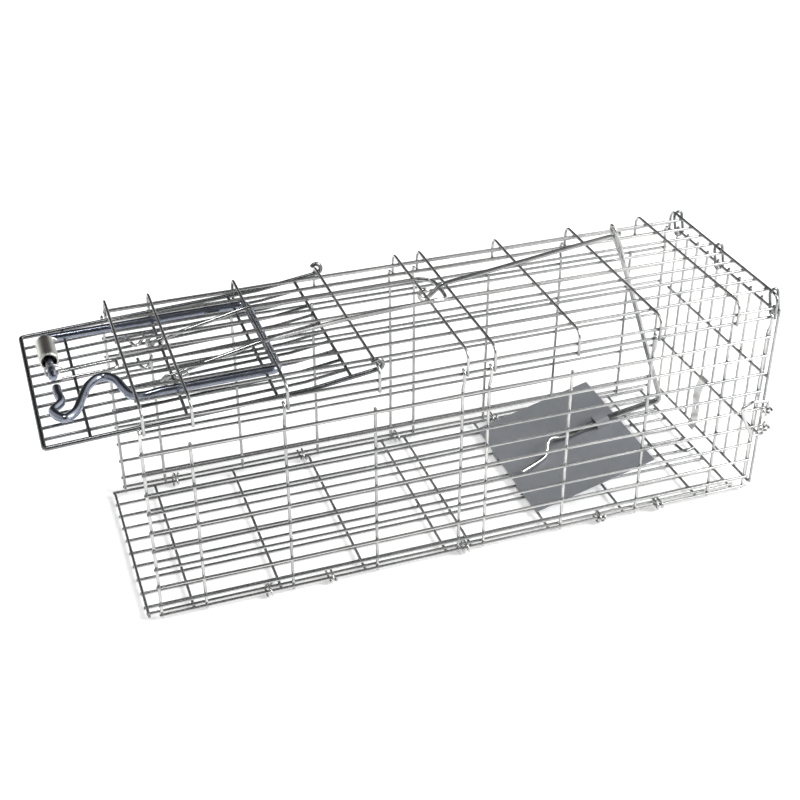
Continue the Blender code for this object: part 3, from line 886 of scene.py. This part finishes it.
@dataclass
class LockBail(Assembly):
    """The heavy rod that follows the door down and locks it, with its roller and clamp."""

    size: float = 4.8
    pivot: Pair = (78.4, 134.7)
    foot: Pair = (-37.5, 133.0)
    near_y: float = -38.0
    far_y: float = 39.0
    curl_z: float = 132.0
    stop_wire: float = 1.3
    stops: tuple[tuple[str, float, int], ...] = (("outer", 34.95, 1), ("inner", 2.6, -1))
    clamp_x: float = 58.0
    clamp_half: float = 4.5
    roller_ends: Pair = (12.5, 34.0)
    roller_radii: Pair = (4.1, 5.25)
    roller_edge: float = 0.25
    roller_sides: int = 48

    def height(self, x: float) -> float:
        """Height of the arms, straight from the pivot to the foot."""
        return float(np.interp(x, [self.foot[0], self.pivot[0]], [self.foot[1], self.pivot[1]]))

    def build(self) -> None:
        """Builds the rod, its two stop rings, the clamp and the roller."""
        snake = [(-37, -14), (-37, -21), (-36.5, -29), (-41.5, -36.5), (-37, -45), (-30.5, -40.5),
                 (-25.5, -28), (-21.5, -18.5), (-16, -12), (-10.6, -11.2), (-6, -16.5), (-3.5, -26),
                 (-0.5, -34.5)]
        near = smooth([(x, y, self.curl_z) for x, y in snake]
                      + [(6, self.near_y, 132.8), (14, self.near_y, self.height(14))])
        (px, pz), (fx, fz) = self.pivot, self.foot
        corners = [tuple(near[-1]), (px, self.near_y, pz), (px, self.far_y, pz), (fx, self.far_y, fz),
                   (fx, -4, fz)]
        path = divided(np.concatenate([near[:-1], rounded(corners, 4.5)]), 6.0)
        self.wire("lock_bail", path, self.size, Finish.BLUED, sides=20)
        ring = [(6.6, 0.4), (4.0, 2.3), (0.2, 3.75), (-3.1, 1.9), (-3.3, -1.5), (-0.6, -3.6), (2.6, -2.5),
                (3.7, 0.1)]
        for word, y, way in self.stops:
            turns = smooth([(fx + u, y + way * 0.09 * k, fz + w) for k, (u, w) in enumerate(ring)], 6)
            self.wire(f"roller_stop_{word}", turns, self.stop_wire, Finish.BRIGHT)
        self.clamp()
        self.roller()

    def clamp(self) -> None:
        """A saddle of strip bent round the underside of the far arm."""
        height = self.height(self.clamp_x)

        def lay(u: np.ndarray, w: np.ndarray, t: np.ndarray) -> np.ndarray:
            """The strip's plane stands across the arm."""
            return np.stack([self.clamp_x + t, self.far_y + u, height + w], 1)

        shell = band(arc((0, 0), 3.3, 175, 365), -self.clamp_half, self.clamp_half, 1.0, lay)
        self.dress(solid_from("bail_clamp", [shell], 0.2), Finish.BRIGHT, "bail_clamp")

    def roller(self) -> None:
        """A turned tube: each point is (r cos a, r sin a) about the foot, r from the wall's outline."""
        (low, high), (bore, outer) = self.roller_ends, self.roller_radii
        edge, sides = self.roller_edge, self.roller_sides
        wall = np.array([(outer, low + edge), (outer, high - edge), (outer - edge, high), (bore + edge, high),
                         (bore, high - edge), (bore, low + edge), (bore + edge, low), (outer - edge, low)])
        wall = np.concatenate([np.linspace(wall[0], wall[1], 9)[:-1], wall[1:]])
        angle = np.linspace(0, 2 * np.pi, sides, endpoint=False)
        reach, across = wall[:, :1], np.broadcast_to(wall[:, 1:], (len(wall), sides))
        ring = np.stack([self.foot[0] + reach * np.cos(angle), across,
                         self.foot[1] + reach * np.sin(angle)], -1)
        quads = ring_quads(len(wall), sides, True)
        points = ring.reshape(-1, 3)
        uv = np.stack([points[quads][:, :, 1], (quads % sides) / sides], -1)
        piece = solid_from("bail_roller", [Shell(points, quads, uv)])
        self.dress(piece, Finish.TUBE, "bail_roller", body="bail_roller")


@dataclass
class Trigger(Assembly):
    """The loop that holds the door up and the rod that holds the loop down."""

    loop_size: float = 2.5
    rod_size: float = 2.8
    rod_y: float = 6.35

    def build(self) -> None:
        """Builds the loop and the rod."""
        top = HEIGHT + MESH_WIRE / 2 + 0.3 + self.loop_size / 2
        dip = rounded([(76.0, top), (71.0, top - 0.8), (30.0, 132.2), (25.0, 131.0), (21.0, 130.2),
                       (19.4, 127.8), (19.4, 125.2)], 1.1, 3)
        over = [(125, 20.8), (172, 21.5), (180, 21.4), (186, 19.5), (188, 14), (188, 0), (186, -4.8),
                (180, -6.4), (172, -7.2), (125, -11), (95, -15.5)]
        across = [(x, y, top if x < 181 else top - 1.2) for x, y in over]
        path = np.concatenate([in_xz(dip[::-1], 20.6), smooth(across, 8), in_xz(dip, -19.2)])
        self.wire("trigger_loop", divided(path, 8.0), self.loop_size, Finish.BRIGHT)
        hook = arc((BARS[4], HEIGHT), 3.1, 50, 315)
        shaft = [(183.0, 140.3), (187.6, 143.9), (192.8, 145.3), (220, 148.6), (243.6, 151.7),
                 (269, 155.1), (296.3, 158.3), (303, 159.1)]
        rod = in_xz(np.concatenate([hook[:-1], smooth([tuple(hook[-1])] + shaft, 6)]), self.rod_y)
        self.wire("trigger_rod", rod, self.rod_size, Finish.BRIGHT, body="trigger_rod")


@dataclass
class Treadle(Assembly):
    """The sheet pan hinged on a floor bar, with the doubled link wire that ends in the trigger's eye."""

    tilt: float = math.radians(14.9)
    hinge: Pair = (BARS[6] - 9.25, 2.4)
    gauge: float = 0.7
    curl: float = 1.85
    length: float = 81.5
    sides: Pair = (-45.8, 51.8)
    curl_ys: Pair = (-19.05, 19.05)
    curl_half: float = 3.8
    tab_at: float = 70.0
    tab_half: float = 4.6
    tab_rise: float = 5.6
    tab_reach: float = 4.5
    tab_gauge: float = 0.8
    steps: int = 24
    rod_y: float = 6.35
    link_size: float = 2.4
    link_half: float = 1.35

    def lay(self, u: np.ndarray, w: np.ndarray, y: np.ndarray) -> np.ndarray:
        """Along the pan, above its hinge line and across, turned up by the pan's tilt."""
        c, s = math.cos(self.tilt), math.sin(self.tilt)
        return np.stack([self.hinge[0] + u * c - w * s, y, self.hinge[1] + u * s + w * c], 1)

    def build(self) -> None:
        """Builds the pan with its hinge curls and tab, then the link."""
        run = np.linspace(-1.0, self.length, self.steps)
        slab = np.stack([run, np.full(self.steps, self.curl)], 1)
        shells = [band(slab, *self.sides, self.gauge, self.lay, self.steps)]
        finger = np.concatenate([[(6.0, self.curl)], arc((0, 0), self.curl, 90, 330)])
        for y in self.curl_ys:
            shells.append(band(finger, y - self.curl_half, y + self.curl_half, self.gauge * 0.96, self.lay))
        low, top, half = self.curl, self.curl + self.tab_rise, self.tab_half
        arch = rounded([(-half, low), (-half, top), (half, top), (half, low)], 2.0, 5)

        def across(u: np.ndarray, w: np.ndarray, t: np.ndarray) -> np.ndarray:
            """The tab's plane stands across the pan, over the link."""
            return self.lay(self.tab_at + t, w, self.rod_y + u)

        shells.append(band(arch, -self.tab_reach, self.tab_reach, self.tab_gauge, across))
        self.dress(solid_from("treadle_pan", shells, 0.12), Finish.SHEET, "treadle_pan")
        self.link()

    def link(self) -> None:
        """A hairpin of wire: bait hook, along the pan, up through the roof to a teardrop eye, and back."""
        rest = self.curl + self.gauge / 2 + 0.3 + self.link_size / 2

        def on_pan(u: float, w: float) -> Pair:
            """X and Z of one place on the pan."""
            place = self.lay(np.array([u]), np.array([w]), np.zeros(1))[0]
            return float(place[0]), float(place[2])

        far_start = [on_pan(36.0, rest)]
        near_start = [on_pan(34.0, rest + 4.6), on_pan(40.0, rest + 2.2), on_pan(50.0, rest)]
        lean = [on_pan(60.0, rest), on_pan(82.0, rest), (343.5, 31.5), (343.5, 36.5)]
        rise = [(331, 71.5), (320, 103.8), (305.4, 143.6)]
        near_y, far_y = self.rod_y - self.link_half, self.rod_y + self.link_half
        hook = [(6.0, 2.0, -10.5), (15.0, 0.5, -7.2), (24.0, 0.0, -4.0), (27.5, 1.5, -1.0), (30.5, 4.2, 2.5)]
        tip = [(x, y, z) for u, w, y in hook for x, z in [on_pan(u, rest + w)]]
        eye = [(302.8, 3.4, 151), (299.3, 2.95, 159), (297.6, 4.2, 163.8), (297.2, 6.35, 165.0),
               (297.6, 8.5, 163.8), (299.3, 9.75, 159), (302.8, 9.3, 151)]
        near = [(x, near_y, z) for x, z in near_start]
        up = [(x, near_y, z) for x, z in lean + rise]
        down = [(x, far_y, z) for x, z in (far_start + lean + rise)[::-1]]
        path = np.concatenate([smooth(tip + near + up[:1], 6)[:-1], rounded(up[:-1], 2.2, 4),
                               smooth(up[-1:] + eye + down[:1], 6), rounded(down[1:], 2.2, 4)])
        self.wire("trigger_link", divided(path, 8.0), self.link_size, Finish.BRIGHT)


@dataclass
class RearDoor(Assembly):
    """The rear door with its rings and latch plate, and the latch wire on the near wall."""

    bar_x: float = 373.9
    bars: tuple[float, ...] = (128.0, 84.0, 43.0, 5.6)
    rings: tuple[float, ...] = (54.6, 3.8, -58.75)
    latch_pin: Pair = (375.0, -67.0)
    latch_hooks: Pair = (49.5, 62.2)
    latch_size: float = 2.0

    def build(self) -> None:
        """Builds the mesh, its hinge rings and the latch wire, and finishes the latch plate."""
        uprights_y = [58.4 - PITCH * step for step in range(10)] + [-61.6]
        over = MESH_WIRE / 2 + 0.4
        sides = (min(uprights_y) - 0.4, max(uprights_y) + over)
        ends = (min(self.bars) - over, max(self.bars) + over)
        bars = [np.array([(self.bar_x, y, z) for y in sides]) for z in self.bars]
        uprights = [np.array([(self.bar_x + LAYER, y, z) for z in ends]) for y in uprights_y]
        welds = np.array([(self.bar_x + LAYER / 2, y, z) for y in uprights_y for z in self.bars])
        panel = Mesh(bars + uprights, welds, SEED + 31)
        self.dress(mesh_from("rear_door_panel", panel.shells()), Finish.BRIGHT, "rear_door_panel")
        for number, y in enumerate(self.rings, 1):
            path = in_xz(oval((BARS[9], HEIGHT), (self.bar_x, self.bars[0]), 2.7), y)
            # The rings take the dull finish, whose darker colour is painted shade.
            self.wire(f"rear_hinge_ring_{number}", path, MESH_WIRE, Finish.DULL, closed=True)
        (x, y), (low, high) = self.latch_pin, self.latch_hooks
        bow = [(x, high - 4), (x, high + 6.5), (364, high + 8.3), (356.5, high + 4.8),
               (360.5, low + 7.5), (367, low - 4.5), (x, low - 4.5), (x, low + 4)]
        path = in_xz(rounded(bow, 1.9, 6), y)
        self.wire("rear_latch_wire", path, self.latch_size, Finish.BRIGHT, body="rear_latch_wire")
        plate = frame["nodes"]["rear_latch_plate"]
        plate.data.materials.clear()
        plate.data.materials.append(self.palette.material(Finish.BRIGHT))


@dataclass(frozen=True)
class Stage:
    """The plain floor, the soft light and the camera."""

    eye: Triple = (-60.4, -635.6, 506.9)
    heading: Triple = (0.2761, 0.7945, -0.5409)
    lens: float = 59.73
    floor_half: float = 6.0
    floor_drop: float = 0.0002
    floor_glow: float = 0.35
    aim: Triple = (0.0, 0.0, 0.07)

    def build(self) -> None:
        """Makes the floor, the sky, two soft lamps, a soft sun and the camera."""
        self.floor()
        self.sky()
        self.lamp("key", (1.3, -0.8, 1.0), 0.7, 18.0)
        self.lamp("top", (-0.35, -0.25, 2.0), 0.4, 9.0)
        self.daylight((0.95, -0.45, 0.85), 30.0, 1.7)
        camera = placed("camera", bpy.data.cameras.new("camera"))
        camera.data.lens = self.lens
        camera.data.sensor_width = 36.0
        camera.data.clip_end = 30.0
        camera.location = PLACE.metres(np.array([self.eye]))[0]
        self.point(camera, Vector(self.heading))
        bpy.context.scene.camera = camera

    @staticmethod
    def point(thing: Object, heading: Vector) -> None:
        """Turns a lamp or the camera to face along a heading."""
        thing.rotation_euler = heading.to_track_quat("-Z", "Y").to_euler()

    def floor(self) -> None:
        """A wide pale sheet just under the trap."""
        mesh = bpy.data.meshes.new("floor")
        corners = np.array([(-1, -1), (1, -1), (1, 1), (-1, 1)]) * self.floor_half
        mesh.from_pydata([(x, y, -self.floor_drop) for x, y in corners], [], [(0, 1, 2, 3)])
        floor = placed("floor", mesh)
        look = bpy.data.materials.new("pale_floor")
        look.use_nodes = True
        shader = look.node_tree.nodes["Principled BSDF"]
        shader.inputs["Base Color"].default_value = (0.92, 0.92, 0.92, 1.0)
        shader.inputs["Roughness"].default_value = 0.85
        shader.inputs["Emission Color"].default_value = (1.0, 1.0, 1.0, 1.0)
        shader.inputs["Emission Strength"].default_value = self.floor_glow
        floor.data.materials.append(look)

    def sky(self) -> None:
        """A world that is pale on the right and dark behind, so that wires show dark edges.

        Its strength is a smooth step of the direction's X times a falling step of its Y, plus a
        step of the size of X from a low value. The camera itself sees one even white.
        """
        world = bpy.data.worlds.new("studio")
        world.use_nodes = True
        tree = world.node_tree
        coords = node(tree, "ShaderNodeTexCoord", {}).outputs["Generated"]
        parts = node(tree, "ShaderNodeSeparateXYZ", {0: coords}).outputs
        right = self.step(tree, parts["X"], (0.10, 0.50), (0.0, 0.60))
        near = self.step(tree, parts["Y"], (0.25, 0.80), (1.0, 0.0))
        sides = self.step(tree, sum_of(tree, "ABSOLUTE", parts["X"], 0.0), (0.30, 0.62), (0.05, 0.60))
        strength = sum_of(tree, "ADD", sum_of(tree, "MULTIPLY", right, near), sides)
        lit = node(tree, "ShaderNodeBackground", {"Strength": strength})
        seen = tree.nodes["Background"]
        for shade in (lit, seen):
            shade.inputs["Color"].default_value = (1.0, 1.0, 1.0, 1.0)
        which = node(tree, "ShaderNodeLightPath", {}).outputs["Is Camera Ray"]
        both = node(tree, "ShaderNodeMixShader", {0: which, 1: lit.outputs[0], 2: seen.outputs[0]})
        tree.links.new(both.outputs[0], tree.nodes["World Output"].inputs["Surface"])
        bpy.context.scene.world = world
        bpy.context.scene.view_settings.view_transform = "Standard"

    @staticmethod
    def step(tree: Tree, value: Socket, start_end: Pair, low_high: Pair) -> Socket:
        """A smooth step from a low to a high value, between a start and an end."""
        inputs = dict(zip((0, 1, 2, 3, 4), (value, *start_end, *low_high)))
        return node(tree, "ShaderNodeMapRange", inputs, interpolation_type="SMOOTHSTEP").outputs[0]

    def daylight(self, source: Triple, spread: float, strength: float) -> None:
        """One wide soft sun, which lights the floor evenly out to its edge.

        Args:
            source: the direction that it shines from.
            spread: how wide it looks, degrees.
            strength: of its light.
        """
        data = bpy.data.lights.new("daylight", "SUN")
        data.energy = strength
        data.angle = math.radians(spread)
        self.point(placed("daylight", data), -Vector(source))

    def lamp(self, name: str, place: Triple, size: float, power: float) -> None:
        """One square soft lamp, aimed at the middle of the trap.

        Args:
            name: the lamp's name.
            place: where it hangs, metres.
            size: of its side, metres.
            power: in watts.
        """
        data = bpy.data.lights.new(name, "AREA")
        data.size = size
        data.energy = power
        lamp = placed(name, data)
        lamp.location = place
        self.point(lamp, Vector(self.aim) - Vector(place))


def main() -> None:
    """Builds the stage and every sub-assembly in order."""
    logging.basicConfig(level=logging.INFO, format="%(name)s: %(message)s")
    palette = Palette(ZincSkin().build())
    Stage().build()
    kinds = {"cage": Cage, "front_door": FrontDoor, "lock_bail": LockBail, "trigger_loop": Trigger,
             "treadle": Treadle, "rear_door": RearDoor}
    for body, kind in kinds.items():
        made = kind(palette, body)
        made.build()
        LOG.info("built %s", type(made).__name__)


if __name__ == "__main__":
    main()
